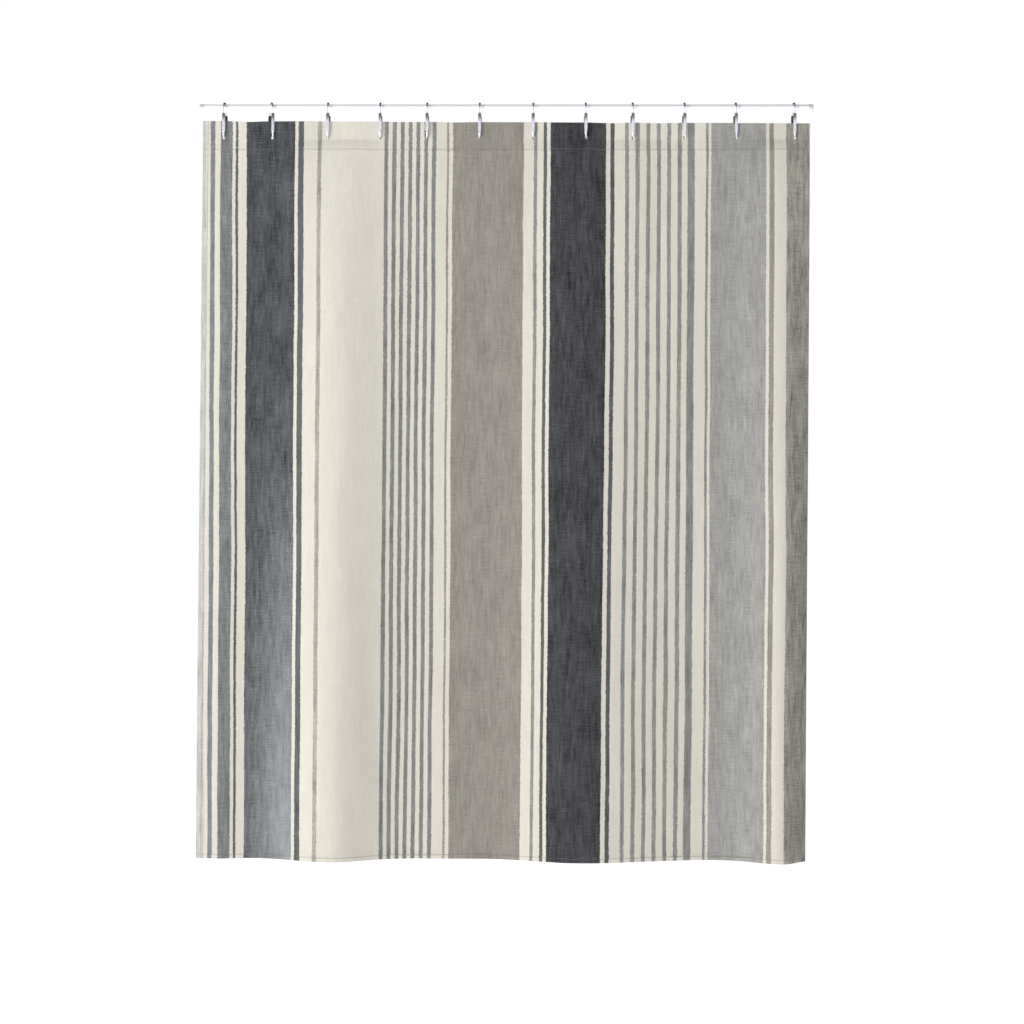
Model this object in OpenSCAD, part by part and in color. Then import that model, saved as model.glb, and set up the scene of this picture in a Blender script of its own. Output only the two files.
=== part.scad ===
// Shower curtain hung from a straight rod on twelve roller hooks.
// Origin: centre of the rod's left end face. +X runs along the rod, +Y away from the
// viewer and +Z up. All sizes are in millimetres.

/* [Rod] */
// Length of the rod over both end caps
rod_len = 1524; // [1200:1:1900]
// Outside diameter of the rod
rod_d = 19; // [16:0.5:22]
// Wall of the rod tube
rod_wall = 1.2; // [0.8:0.1:2]
// How far an end cap stands out beyond the tube's end
cap_len = 12; // [8:1:25]
// How much wider an end cap is than the tube, on the radius
cap_lip = 0.3; // [0.2:0.1:2]
// Length of the cap's spigot inside the tube
spigot_len = 20; // [10:1:40]
// Gap between the spigot and the tube
spigot_gap = 0.05; // [0.02:0.01:0.2]

/* [Hooks] */
// Distance from the rod's end to the first and the last hook
hook_margin_left = 62; // [50:1:90]
// Distance from the rod's right end to the last hook
hook_margin_right = 48; // [40:1:90]
// Diameter of the wire in the bow
wire_d = 2.4; // [2:0.1:3]
// Radius of the bow, to the middle of the wire
bow_r = 15.5; // [14.5:0.1:20]
// Diameter of a roller bead
bead_d = 5; // [4.2:0.1:5.6]
// Gap between a bead and the rod, and between a bead and its wire
bead_gap = 0.3; // [0.2:0.05:0.5]
// Angle between two beads on the bow
bead_step = 30; // [25:1:36]
// Height of the hook's bars, from the top of a bar to the middle of its curl
bar_len = 54.2; // [45:1:80]
// Width of a bar
bar_w = 7.6; // [6:0.2:10]
// Thickness of a bar
bar_t = 2.4; // [2:0.1:3]
// Width of a bar's curl
curl_w = 3.6; // [3:0.1:4.2]
// Radius of the curl, to the middle of the bar
curl_r = 4.6; // [4.2:0.1:6]
// Height of the curl's tip above the middle of the curl
tip_len = 6; // [4:0.5:10]
// Gap below the rod before the bars start
bar_drop = 5.3; // [2:0.5:10]

/* [Curtain] */
// Height of the curtain
cloth_h = 1827; // [1500:1:2200]
// How far the curtain's side edges stay inside the rod's ends
cloth_inset = 10; // [5:1:40]
// Height of the curtain's top edge above the middle of the curl
top_margin = 33; // [24:1:45]
// Height of the top hem
top_hem_h = 70; // [60:1:90]
// Height of the bottom hem
bottom_hem_h = 12; // [10:1:40]
// Width of a side hem
side_hem_w = 15; // [10:1:30]
// Thickness of the single cloth
cloth_t = 0.6; // [0.4:0.1:1.4]
// Thickness of a hem
hem_t = 1.2; // [0.9:0.1:2]
// How far the bottom hangs to the left of the top
lean = 15; // [0:1:30]

/* [Buttonholes] */
// Width of a buttonhole
hole_w = 6; // [5:0.2:8]
// Height of a buttonhole
hole_h = 9; // [7:0.5:14]
// Room between the curl and the top of its buttonhole
hole_gap = 2.2; // [1.8:0.1:3]
// Width of the stitching round a buttonhole
stitch_w = 1.6; // [1:0.1:3]
// Thickness of the stitching
stitch_t = 2; // [1.4:0.1:2.6]

/* [Hidden] */
$fn = 48;

// Rod
rod_r = rod_d / 2;
tube_r = rod_r - rod_wall;

// Hooks stand at an even pitch, each pushed along a little by hand, and some are turned
HOOKS = 12;
hook_pitch = (rod_len - hook_margin_left - hook_margin_right) / (HOOKS - 1);
hook_nudge = [0, -13, 0, 1, -11, -9, -5, -3, -15, -15, -16, 0];
hook_turn = [-2, 22, 0, 1, 0, -1, 0, 0, 1, 0, 0, 1];
function hook_x(i) = hook_margin_left + i * hook_pitch + hook_nudge[i];

// The bow hangs on its top bead
bow_z = rod_r + bead_gap + bead_d / 2 - bow_r;
bar_top_z = -rod_r - bar_drop;
curl_z = bar_top_z - bar_len;
// The wire butts on a flat of its own width between the bar's rounded corners
bar_corner_r = (bar_w - wire_d) / 2;
// The bar narrows to the curl over its last stretch
taper_h = 14;

// Curtain: it hangs in the middle of the front bars' curls
cloth_y = curl_r - bow_r;
cloth_w = rod_len - 2 * cloth_inset;
cloth_x = cloth_inset;
cloth_z = curl_z + top_margin;
hole_top_z = curl_z - curl_r + bar_t / 2 + hole_gap;
hole_mid_z = hole_top_z - hole_h / 2;
ring_w = hole_w + 2 * stitch_w;
ring_h = hole_h + 2 * stitch_w;
// The middle of a buttonhole is where its hook's curl crosses the cloth
function hole_x(i) = hook_x(i) - cloth_y * tan(hook_turn[i]);

// Cuts run this far past what they cut, and the ring of thread is let in by this much
overcut = 1;
ring_fit = 0.1;

// Three soft folds towards the viewer: middle as a share of the width, depth, half width
FOLDS = [[0.231, 58, 120], [0.663, 52, 138], [0.946, 62, 85]];
// Folds start below the top hem, grow quickly at first and reach their depth at the bottom edge
fold_start = top_hem_h / cloth_h;
fold_power = 0.65;
function fold_growth(s) = s <= fold_start ? 0 : pow((s - fold_start) / (1 - fold_start), fold_power);
function fold_sum(u, i = 0) = i == len(FOLDS) ? 0 :
    FOLDS[i][1] * exp(-pow((u - FOLDS[i][0]) * cloth_w / FOLDS[i][2], 2)) + fold_sum(u, i + 1);
// A point of the cloth at share u of the width and s of the height
function cloth_point(u, s, side) = [cloth_x + u * cloth_w - lean * s,
    cloth_y - fold_sum(u) * fold_growth(s) + side, cloth_z - s * cloth_h];

// Shares of the cloth where the hems start
u_hem = side_hem_w / cloth_w;
s_top = top_hem_h / cloth_h;
s_bottom = 1 - bottom_hem_h / cloth_h;

// A piece of the hanging cloth as a closed sheet, nu by ns faces on each side
module hanging_cloth(u0, u1, s0, s1, t, nu, ns) {
    row = nu + 1;
    layer = row * (ns + 1);
    points = [for (side = [-t / 2, t / 2], j = [0:ns], i = [0:nu])
        cloth_point(u0 + (u1 - u0) * i / nu, s0 + (s1 - s0) * j / ns, side)];
    front = [for (j = [0:ns - 1], i = [0:nu - 1]) let (a = j * row + i)
        each [[a, a + 1, a + row], [a + 1, a + row + 1, a + row]]];
    back = [for (f = front) [f[0] + layer, f[2] + layer, f[1] + layer]];
    rim = concat([for (i = [0:nu]) i], [for (j = [1:ns]) j * row + nu],
        [for (i = [nu - 1:-1:0]) ns * row + i], [for (j = [ns - 1:-1:1]) j * row]);
    n = len(rim);
    edge = [for (k = [0:n - 1]) let (a = rim[k], b = rim[(k + 1) % n])
        each [[a, a + layer, b], [b, a + layer, b + layer]]];
    polyhedron(points, concat(front, back, edge));
}

// A slot with round ends, in the XZ plane and through the cloth
module slot(w, h, t) {
    rotate([90, 0, 0])
        linear_extrude(t, center = true) {
            square([w, h - w], center = true);
            for (end = [-1, 1])
                translate([0, end * (h - w) / 2])
                    circle(d = w);
        }
}

module rod_tube() {
    color("white")
        translate([cap_len, 0, 0])
            rotate([0, 90, 0])
                difference() {
                    cylinder(r = rod_r, h = rod_len - 2 * cap_len);
                    translate([0, 0, -overcut])
                        cylinder(r = tube_r, h = rod_len - 2 * cap_len + 2 * overcut);
                }
}

// An end cap with its face at x = 0 and its spigot towards +X
module rod_cap() {
    color("whitesmoke")
        rotate([0, 90, 0]) {
            cylinder(r = rod_r + cap_lip, h = cap_len);
            cylinder(r = tube_r - spigot_gap, h = cap_len + spigot_len);
        }
}

module rod_cap_left() {
    rod_cap();
}

module rod_cap_right() {
    translate([rod_len, 0, 0])
        mirror([1, 0, 0])
            rod_cap();
}

module curtain_panel() {
    color("linen")
        hanging_cloth(u_hem, 1 - u_hem, s_top, s_bottom, cloth_t, 48, 10);
}

module top_hem() {
    color("gainsboro")
        difference() {
            translate([cloth_x, cloth_y - hem_t / 2, cloth_z - top_hem_h])
                cube([cloth_w, hem_t, top_hem_h]);
            for (i = [0:HOOKS - 1])
                translate([hole_x(i), cloth_y, hole_mid_z])
                    slot(ring_w + ring_fit, ring_h + ring_fit, hem_t + 2 * overcut);
        }
}

module bottom_hem() {
    color("gainsboro")
        hanging_cloth(0, 1, s_bottom, 1, hem_t, 48, 1);
}

module left_hem() {
    color("gainsboro")
        hanging_cloth(0, u_hem, s_top, s_bottom, hem_t, 1, 10);
}

module right_hem() {
    color("dimgray")
        hanging_cloth(1 - u_hem, 1, s_top, s_bottom, hem_t, 1, 10);
}

// The sewn rings round the buttonholes
module buttonholes() {
    color("ivory")
        for (i = [0:HOOKS - 1])
            translate([hole_x(i), cloth_y, hole_mid_z])
                difference() {
                    slot(ring_w, ring_h, stitch_t);
                    slot(hole_w, hole_h, stitch_t + 2 * overcut);
                }
}

// Puts a piece of a hook, made at x = 0, in its place on the rod
module at_hook(i) {
    translate([hook_x(i), 0, 0])
        rotate([0, 0, hook_turn[i]])
            children();
}

// The arch of the bow, as a ring's upper half in the YZ plane
module bow_arch(r) {
    translate([0, 0, bow_z])
        rotate([90, 0, 90])
            rotate_extrude(angle = 180)
                translate([bow_r, 0])
                    circle(r = r);
}

module hook_bow(i) {
    color("silver")
        at_hook(i) {
            bow_arch(wire_d / 2);
            for (side = [-1, 1])
                translate([0, side * bow_r, bar_top_z])
                    cylinder(d = wire_d, h = bow_z - bar_top_z);
        }
}

module hook_beads(i) {
    color("dimgray")
        at_hook(i)
            difference() {
                for (a = [-2:2])
                    translate([0, bow_r * sin(a * bead_step), bow_z + bow_r * cos(a * bead_step)])
                        sphere(d = bead_d);
                bow_arch(wire_d / 2 + bead_gap / 2);
            }
}

// The flat outline of a bar: rounded corners on top, narrower towards the curl
module bar_outline() {
    for (side = [-1, 1])
        translate([side * (bar_w / 2 - bar_corner_r), -bar_corner_r])
            circle(r = bar_corner_r);
    translate([-wire_d / 2, -bar_corner_r])
        square([wire_d, bar_corner_r]);
    polygon([[-bar_w / 2, -bar_corner_r], [bar_w / 2, -bar_corner_r], [bar_w / 2, taper_h - bar_len],
        [curl_w / 2, -bar_len], [-curl_w / 2, -bar_len], [-bar_w / 2, taper_h - bar_len]]);
}

// A bar on the viewer's side, with its curl turned in under the rod
module hook_bar() {
    translate([0, -bow_r, bar_top_z])
        rotate([90, 0, 0])
            linear_extrude(bar_t, center = true)
                bar_outline();
    translate([0, curl_r - bow_r, curl_z])
        rotate([90, 0, 90])
            rotate_extrude(angle = -180)
                translate([curl_r - bar_t / 2, -curl_w / 2])
                    square([bar_t, curl_w]);
    translate([-curl_w / 2, 2 * curl_r - bow_r - bar_t / 2, curl_z])
        cube([curl_w, bar_t, tip_len]);
}

module hook_front_bar(i) {
    color("silver")
        at_hook(i)
            hook_bar();
}

module hook_back_bar(i) {
    color("silver")
        at_hook(i)
            mirror([0, 1, 0])
                hook_bar();
}

rod_tube();
rod_cap_left();
rod_cap_right();
curtain_panel();
top_hem();
bottom_hem();
left_hem();
right_hem();
buttonholes();
hook_bow(0);  // hook_01_bow
hook_beads(0);  // hook_01_beads
hook_front_bar(0);  // hook_01_front_bar
hook_back_bar(0);  // hook_01_back_bar
hook_bow(1);  // hook_02_bow
hook_beads(1);  // hook_02_beads
hook_front_bar(1);  // hook_02_front_bar
hook_back_bar(1);  // hook_02_back_bar
hook_bow(2);  // hook_03_bow
hook_beads(2);  // hook_03_beads
hook_front_bar(2);  // hook_03_front_bar
hook_back_bar(2);  // hook_03_back_bar
hook_bow(3);  // hook_04_bow
hook_beads(3);  // hook_04_beads
hook_front_bar(3);  // hook_04_front_bar
hook_back_bar(3);  // hook_04_back_bar
hook_bow(4);  // hook_05_bow
hook_beads(4);  // hook_05_beads
hook_front_bar(4);  // hook_05_front_bar
hook_back_bar(4);  // hook_05_back_bar
hook_bow(5);  // hook_06_bow
hook_beads(5);  // hook_06_beads
hook_front_bar(5);  // hook_06_front_bar
hook_back_bar(5);  // hook_06_back_bar
hook_bow(6);  // hook_07_bow
hook_beads(6);  // hook_07_beads
hook_front_bar(6);  // hook_07_front_bar
hook_back_bar(6);  // hook_07_back_bar
hook_bow(7);  // hook_08_bow
hook_beads(7);  // hook_08_beads
hook_front_bar(7);  // hook_08_front_bar
hook_back_bar(7);  // hook_08_back_bar
hook_bow(8);  // hook_09_bow
hook_beads(8);  // hook_09_beads
hook_front_bar(8);  // hook_09_front_bar
hook_back_bar(8);  // hook_09_back_bar
hook_bow(9);  // hook_10_bow
hook_beads(9);  // hook_10_beads
hook_front_bar(9);  // hook_10_front_bar
hook_back_bar(9);  // hook_10_back_bar
hook_bow(10);  // hook_11_bow
hook_beads(10);  // hook_11_beads
hook_front_bar(10);  // hook_11_front_bar
hook_back_bar(10);  // hook_11_back_bar
hook_bow(11);  // hook_12_bow
hook_beads(11);  // hook_12_beads
hook_front_bar(11);  // hook_12_front_bar
hook_back_bar(11);  // hook_12_back_bar
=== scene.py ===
# %% [markdown]
# # A striped curtain on its rod
#
# This notebook dresses a measured model of a shower curtain: a white rod, twelve roller hooks and one
# printed cloth. The measured model is loaded first and never moved. Each piece made here goes where the
# model says, in metres, and rides on the same body, so that the hooks still slide and the cloth still
# swings.

# %% Load the measured model
import math

import bmesh
import bpy
from mathutils import Matrix, Vector, noise


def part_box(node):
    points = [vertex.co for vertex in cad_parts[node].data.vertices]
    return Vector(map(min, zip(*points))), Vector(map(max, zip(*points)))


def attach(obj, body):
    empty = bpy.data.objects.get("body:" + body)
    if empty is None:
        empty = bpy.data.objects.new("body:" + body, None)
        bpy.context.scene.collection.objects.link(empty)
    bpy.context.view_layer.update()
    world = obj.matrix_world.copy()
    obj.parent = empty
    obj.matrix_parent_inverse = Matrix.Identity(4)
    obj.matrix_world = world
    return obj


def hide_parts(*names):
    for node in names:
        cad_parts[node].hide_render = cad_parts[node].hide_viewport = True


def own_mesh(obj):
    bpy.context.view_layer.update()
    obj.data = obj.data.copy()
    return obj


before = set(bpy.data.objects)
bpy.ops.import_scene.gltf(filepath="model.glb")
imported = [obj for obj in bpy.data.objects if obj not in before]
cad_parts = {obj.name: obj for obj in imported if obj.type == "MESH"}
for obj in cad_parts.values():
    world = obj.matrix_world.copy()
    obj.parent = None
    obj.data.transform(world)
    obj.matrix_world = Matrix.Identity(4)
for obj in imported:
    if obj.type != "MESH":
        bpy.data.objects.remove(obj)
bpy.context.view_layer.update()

MM = 0.001

# %% [markdown]
# ## The camera
#
# A catalogue picture of a curtain is taken from straight in front, at half its height and far enough away
# that the rod looks level. A 59 mm lens at 4.2 m does that. The lens is not shifted and nothing is out of
# focus, so the same camera can be moved round the curtain later.

# %% Set up the camera
EYE = Vector((0.7756, -4.2, -1.0031))

camera_data = bpy.data.cameras.new("studio_camera")
camera_data.lens = 59.4
camera_data.sensor_width = 36
camera = bpy.data.objects.new("studio_camera", camera_data)
camera.location = EYE
camera.rotation_euler = (math.pi / 2, 0, 0)
bpy.context.scene.collection.objects.link(camera)
bpy.context.scene.camera = camera
print("camera at", tuple(EYE))

# %% [markdown]
# ## Helpers for meshes
#
# Every piece ends in the same way: its bmesh becomes an object at the origin, its normals point outwards,
# it gets its materials, and it rides on a body in place of the plain solid it stands for. One helper does
# that, so that no piece forgets a step.

# %% Helpers for meshes
def finish_piece(bm, name, materials, body, nodes, outward=True, sharp_angle=35):
    """Turns a bmesh into a finished piece that rides on a body and stands for some CAD nodes."""
    if outward:
        bmesh.ops.remove_doubles(bm, verts=bm.verts, dist=1e-6)
        bmesh.ops.recalc_face_normals(bm, faces=bm.faces)
    mesh = bpy.data.meshes.new(name)
    bm.to_mesh(mesh)
    bm.free()
    piece = bpy.data.objects.new(name, mesh)
    bpy.context.scene.collection.objects.link(piece)
    for material in materials:
        mesh.materials.append(material)
    mesh.shade_smooth()
    mesh.set_sharp_from_angle(angle=math.radians(sharp_angle))
    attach(piece, body)
    if nodes:
        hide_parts(*nodes)
    return piece


def edges_of(verts):
    """The edges that join two of these vertices."""
    chosen = set(verts)
    return list({e for v in verts for e in v.link_edges if e.other_vert(v) in chosen})


def spin_profile(bm, points, centre, axis, steps, closed=True):
    """Spins an outline of points all the way round an axis."""
    verts = [bm.verts.new(p) for p in points]
    pairs = zip(verts, verts[1:] + verts[:1] if closed else verts[1:])
    edges = [bm.edges.new(pair) for pair in pairs]
    bmesh.ops.spin(bm, geom=verts + edges, cent=centre, axis=axis, angle=2 * math.pi,
                   steps=steps, use_merge=True, use_duplicate=False)


def apply_modifiers(piece):
    """Keeps what the modifiers make as the piece's own mesh."""
    made = bpy.data.meshes.new_from_object(piece.evaluated_get(bpy.context.evaluated_depsgraph_get()))
    piece.modifiers.clear()
    piece.data = made


# %% [markdown]
# ## Helpers for materials
#
# A material is a small sum: a colour, plus a bit of noise, minus a mask. Writing that as Python is easier
# to read than a drawing of nodes, so one class stands for the output of a node, and + - * / on it add Math
# nodes. One method adds any other node: its settings come first, then the values or links of its sockets.

# %% Helpers for materials
class Signal:
    """One output of a node, which the signs of Python can work with."""

    def __init__(self, paint, socket):
        self.paint = paint
        self.socket = socket

    def maths(self, operation, *values):
        return self.paint.node("ShaderNodeMath", {"operation": operation}, dict(enumerate(values)))

    def __add__(self, other):
        return self.maths("ADD", self, other)

    def __sub__(self, other):
        return self.maths("SUBTRACT", self, other)

    def __rsub__(self, other):
        return self.maths("SUBTRACT", other, self)

    def __mul__(self, other):
        return self.maths("MULTIPLY", self, other)

    def __truediv__(self, other):
        return self.maths("DIVIDE", self, other)

    __radd__ = __add__
    __rmul__ = __mul__

    def size(self):
        """The value without its sign."""
        return self.maths("ABSOLUTE", self)

    def near(self, middle, reach):
        """1 where the signal is within reach of the middle, 0 elsewhere."""
        return self.maths("COMPARE", self, middle, reach)

    def step(self, low, high):
        """Rises smoothly from 0 at low to 1 at high."""
        settings = {"interpolation_type": "SMOOTHSTEP"}
        return self.paint.node("ShaderNodeMapRange", settings, {"Value": self, 1: low, 2: high})


class Paint:
    """A material under construction."""

    def __init__(self, name, **fixed):
        self.material = bpy.data.materials.new(name)
        self.material.use_nodes = True
        self.tree = self.material.node_tree
        self.surface = self.tree.nodes["Principled BSDF"]
        for socket, value in fixed.items():
            self.surface.inputs[socket.replace("_", " ")].default_value = value

    def node(self, kind, settings={}, sockets={}, out=0):
        made = self.tree.nodes.new(kind)
        for key, value in settings.items():
            setattr(made, key, value)
        for key, value in sockets.items():
            if isinstance(value, Signal):
                self.tree.links.new(value.socket, made.inputs[key])
            else:
                made.inputs[key].default_value = value
        return Signal(self, made.outputs[out])

    def drive(self, **varying):
        """Links signals to sockets of the surface shader."""
        for socket, signal in varying.items():
            self.tree.links.new(signal.socket, self.surface.inputs[socket.replace("_", " ")])

    def place(self):
        """Where the point is on the object, in metres."""
        return self.node("ShaderNodeTexCoord", out="Object")

    def parts(self, vector):
        """The X, Y and Z of a vector."""
        split = self.node("ShaderNodeSeparateXYZ", {}, {0: vector})
        return [Signal(self, s) for s in split.socket.node.outputs]

    def join(self, x, y, z=0.0):
        """A vector of three values."""
        return self.node("ShaderNodeCombineXYZ", {}, {0: x, 1: y, 2: z})

    def noise(self, vector, scale=1.0, detail=2.0, roughness=0.5):
        sockets = {"Vector": vector, "Scale": scale, "Detail": detail, "Roughness": roughness}
        return self.node("ShaderNodeTexNoise", {}, sockets)

    def mix(self, share, first, second, blend="MIX"):
        """Mixes two colours; the sockets 6 and 7 of the Mix node are its colours."""
        settings = {"data_type": "RGBA", "blend_type": blend}
        return self.node("ShaderNodeMix", settings, {0: share, 6: first, 7: second}, out=2)

    def bump(self, height, distance, strength=1.0):
        sockets = {"Height": height, "Distance": distance, "Strength": strength}
        return self.node("ShaderNodeBump", {}, sockets)


def ink(red, green, blue):
    """A colour given in the 0 to 255 steps of a paint chart, made linear."""
    def linear(c):
        c = c / 255
        return c / 12.92 if c <= 0.04045 else ((c + 0.055) / 1.055) ** 2.4
    return (linear(red), linear(green), linear(blue), 1.0)


print("an even grey of 128 is", round(ink(128, 128, 128)[0], 3), "when linear")

# %% [markdown]
# ## White enamel for the rod
#
# The rod is a steel tube with a baked white enamel. Real enamel is never dead flat: it has a faint orange
# peel, and hooks that slide along it rub its top a little duller. A fine noise through a Bump node gives
# the peel, and a patchy band along the top that follows the height of the point is made rougher for the
# rubbing and painted a little greyer, as painted shade along the top. The white also has a faint painted
# glow, painted light that brightens the rod though it is no lamp.

# %% White enamel and cap plastic
def enamel_paint():
    # A faint emission is painted light that brightens the white rod; the rod is no lamp.
    paint = Paint("rod_white_enamel", IOR=1.45, Emission_Color=(1, 1, 1, 1), Emission_Strength=0.1)
    place = paint.place()
    height = paint.parts(place)[2]
    track = height.step(7 * MM, 9.4 * MM)
    scuffs = paint.noise(paint.node("ShaderNodeMapping", {}, {0: place, "Scale": (60, 900, 900)}), 1.0, 4.0)
    # The patchy top band is rougher where rubbed, and its colour is painted greyer: painted shade along the
    # top of the rod.
    rubbed_and_shaded_top = track * scuffs.step(0.42, 0.7)
    colour = paint.mix(rubbed_and_shaded_top * 0.5, ink(252, 252, 254), ink(226, 226, 230))
    peel = paint.noise(place, 700.0, 2.0)
    paint.drive(Base_Color=colour, Roughness=0.26 + rubbed_and_shaded_top * 0.25 + scuffs * 0.06,
                Normal=paint.bump(peel, 0.03 * MM, 0.6))
    return paint.material


def cap_paint():
    paint = Paint("white_cap_plastic", Roughness=0.35, IOR=1.46)
    place = paint.place()
    grain = paint.noise(place, 1600.0, 3.0)
    cloudy = paint.noise(place, 90.0, 2.0)
    colour = paint.mix(cloudy, ink(240, 240, 240), ink(230, 231, 233))
    paint.drive(Base_Color=colour, Roughness=0.3 + grain * 0.12, Normal=paint.bump(grain, 0.02 * MM, 0.5))
    return paint.material


WHITE_ENAMEL = enamel_paint()
CAP_PLASTIC = cap_paint()
print("made", WHITE_ENAMEL.name, "and", CAP_PLASTIC.name)

# %% [markdown]
# ## The rod and its end caps
#
# The rod is a tube, so it can be made as the outline of its wall spun once round its long axis. A spin is
# better than a plain cylinder because the outline can carry the small chamfers at the cut ends and the
# real wall thickness, which the caps' spigots slide into.

# %% Spin the rod
tube_low, tube_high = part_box("rod_tube")
ROD_R = (tube_high.z - tube_low.z) / 2
ROD_WALL = 1.2 * MM
CHAMFER = 0.25 * MM
ROD_STEPS = 96

bm = bmesh.new()
inner_r = ROD_R - ROD_WALL
wall = []
for x, inward in [(tube_low.x, 1), (tube_high.x, -1)]:
    corner = [(x, inner_r), (x, ROD_R - CHAMFER), (x + inward * CHAMFER, ROD_R)]
    wall += corner if inward == 1 else corner[::-1]
spin_profile(bm, [(x, 0, r) for x, r in wall], (0, 0, 0), (1, 0, 0), ROD_STEPS)
rod = finish_piece(bm, "rod_enamel_tube", [WHITE_ENAMEL], "rod", ["rod_tube"])
print("rod:", len(rod.data.polygons), "faces, diameter", round(2 * ROD_R / MM, 1), "mm")

# %% Spin the two caps
CAP_LEN = 12 * MM
CAP_LIP = 0.3 * MM
SPIGOT_LEN = 20 * MM
ROUNDING = 1.6 * MM
GROOVE_W, GROOVE_DEPTH = 0.6 * MM, 0.25 * MM
SPIGOT_GAP = 0.05 * MM
SPIGOT_CHAMFER = 1 * MM
CAP_STEPS = 64


def spin_cap(name, node, face_x, inward):
    """An end cap with a rounded face, a fine groove near its rim and a spigot for the tube."""
    outer = ROD_R + CAP_LIP
    spigot = inner_r - SPIGOT_GAP
    outline = [(0, 0), (0, outer - ROUNDING)]
    for turn_share in (0.25, 0.5, 0.75, 1.0):
        a = turn_share * math.pi / 2
        outline.append((ROUNDING * (1 - math.cos(a)), outer - ROUNDING * (1 - math.sin(a))))
    groove = 0.75 * CAP_LEN
    end = CAP_LEN + SPIGOT_LEN
    outline += [(groove, outer), (groove + GROOVE_W / 2, outer - GROOVE_DEPTH), (groove + GROOVE_W, outer),
                (CAP_LEN, outer), (CAP_LEN, spigot), (end - SPIGOT_CHAMFER, spigot),
                (end, spigot - SPIGOT_CHAMFER), (end, 0)]
    cap = bmesh.new()
    points = [(face_x + inward * x, 0, r) for x, r in outline]
    spin_profile(cap, points, (0, 0, 0), (1, 0, 0), CAP_STEPS, closed=False)
    return finish_piece(cap, name, [CAP_PLASTIC], "rod", [node])


spin_cap("left_end_cap", "rod_cap_left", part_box("rod_cap_left")[0].x, 1)
spin_cap("right_end_cap", "rod_cap_right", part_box("rod_cap_right")[1].x, -1)

# %% [markdown]
# ## Chrome for the hooks
#
# Chrome is a metal, so its look is almost all reflection. Two things keep it from looking like a computer's
# mirror: the plating has a very slight ripple, and fingers leave parts of it duller. The rollers get a
# darker chrome than the bars, as painted shade for the dark sides their small round shapes turn to every
# direction. The upper end of a front bar, above the cloth, is painted dark too, and the back bars get a dark
# copy of the chrome; both are painted shade.

# %% Chrome plating
def chrome_paint(name, bright, dull, rough, ripple, painted_shade_from=None):
    """Chrome with smudges; painted shade can darken it above a height, which is given as where that starts
    and ends.
    """
    paint = Paint(name, Metallic=1.0)
    place = paint.place()
    smudge = paint.noise(place, 140.0, 3.0)
    stretched = paint.node("ShaderNodeMapping", {}, {0: place, "Scale": (1500, 1500, 90)})
    brushed = paint.noise(stretched, 1.0, 2.0)
    tone = smudge.step(0.35, 0.7)
    colour = paint.mix(tone, bright, dull)
    if painted_shade_from:
        height = paint.parts(place)[2]
        # Painted shade: above that height the chrome is painted dark.
        colour = paint.mix(height.step(*painted_shade_from) * 0.85, colour, ink(72, 74, 78))
    bump = paint.bump(brushed * 0.5 + paint.noise(place, 260.0, 1.0), ripple)
    paint.drive(Base_Color=colour, Roughness=rough + tone * 0.1 + brushed * 0.05, Normal=bump)
    return paint.material


WIRE_CHROME = chrome_paint("bright_wire_chrome", ink(244, 244, 250), ink(228, 228, 236), 0.08, 0.05 * MM)
# The front bars' chrome is painted dark above the cloth's top edge: painted shade.
HOOK_CHROME = chrome_paint("polished_hook_chrome", ink(244, 244, 252), ink(230, 230, 240), 0.1, 0.05 * MM,
                           (-38 * MM, -20 * MM))
# The back bars get a dark copy of the chrome: painted shade for the bars that hang behind.
SHADED_CHROME = chrome_paint("shaded_back_bar_chrome", ink(84, 86, 86), ink(60, 62, 62), 0.2, 0.05 * MM)
# The rollers' chrome is painted darker: painted shade.
SHADED_ROLLER_CHROME = chrome_paint("shaded_roller_chrome", ink(120, 118, 128), ink(84, 84, 92), 0.12, 0.03 * MM)
print("made", HOOK_CHROME.name, "and", SHADED_ROLLER_CHROME.name)

# %% [markdown]
# ## The hooks
#
# Each hook is four pieces: a wire bow over the rod, five rollers threaded on the bow, and a flat bar at the
# front and one at the back, each curled at its foot to hold a cloth. The wire is a circle that is pulled
# up, spun half a turn over the rod and pulled down again. A bar is a small rectangle pulled down, narrowed,
# spun half a turn for the curl, and then bevelled all round, as a stamped and polished part is.

# %% The hooks' sizes and places
BOW_R = 15.5 * MM
WIRE_D = 2.4 * MM
BEAD_D = 5 * MM
BEAD_BORE = 2.7 * MM
BEAD_STEP = math.radians(30)
BAR_W, BAR_T, BAR_LEN = 7.6 * MM, 2.4 * MM, 54.2 * MM
CURL_W, CURL_R, TIP_LEN, TAPER = 3.6 * MM, 4.6 * MM, 6 * MM, 14 * MM
BAR_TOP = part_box("hook_01_front_bar")[1].z
CURL_Z = BAR_TOP - BAR_LEN
BOW_Z = ROD_R + 0.3 * MM + BEAD_D / 2 - BOW_R
HOOK_NAMES = [f"hook_{n:02d}" for n in range(1, 13)]
TURNED = {"hook_01": -2, "hook_02": 22, "hook_04": 1, "hook_06": -1, "hook_09": 1, "hook_12": 1}


def hook_x(name):
    """The middle of a hook along the rod."""
    low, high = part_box(name + "_bow")
    return (low.x + high.x) / 2


HOOK_X = [hook_x(name) for name in HOOK_NAMES]
print("hooks at", [round(x / MM, 1) for x in HOOK_X], "mm")

# %% The bow: a wire over the rod
def pull(bm, edges, offset):
    """Extrudes open edges by an offset and gives the new edges."""
    made = bmesh.ops.extrude_edge_only(bm, edges=edges)["geom"]
    bmesh.ops.translate(bm, verts=[g for g in made if isinstance(g, bmesh.types.BMVert)], vec=offset)
    return [g for g in made if isinstance(g, bmesh.types.BMEdge)
            and all(v in made for v in g.verts)]


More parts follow.
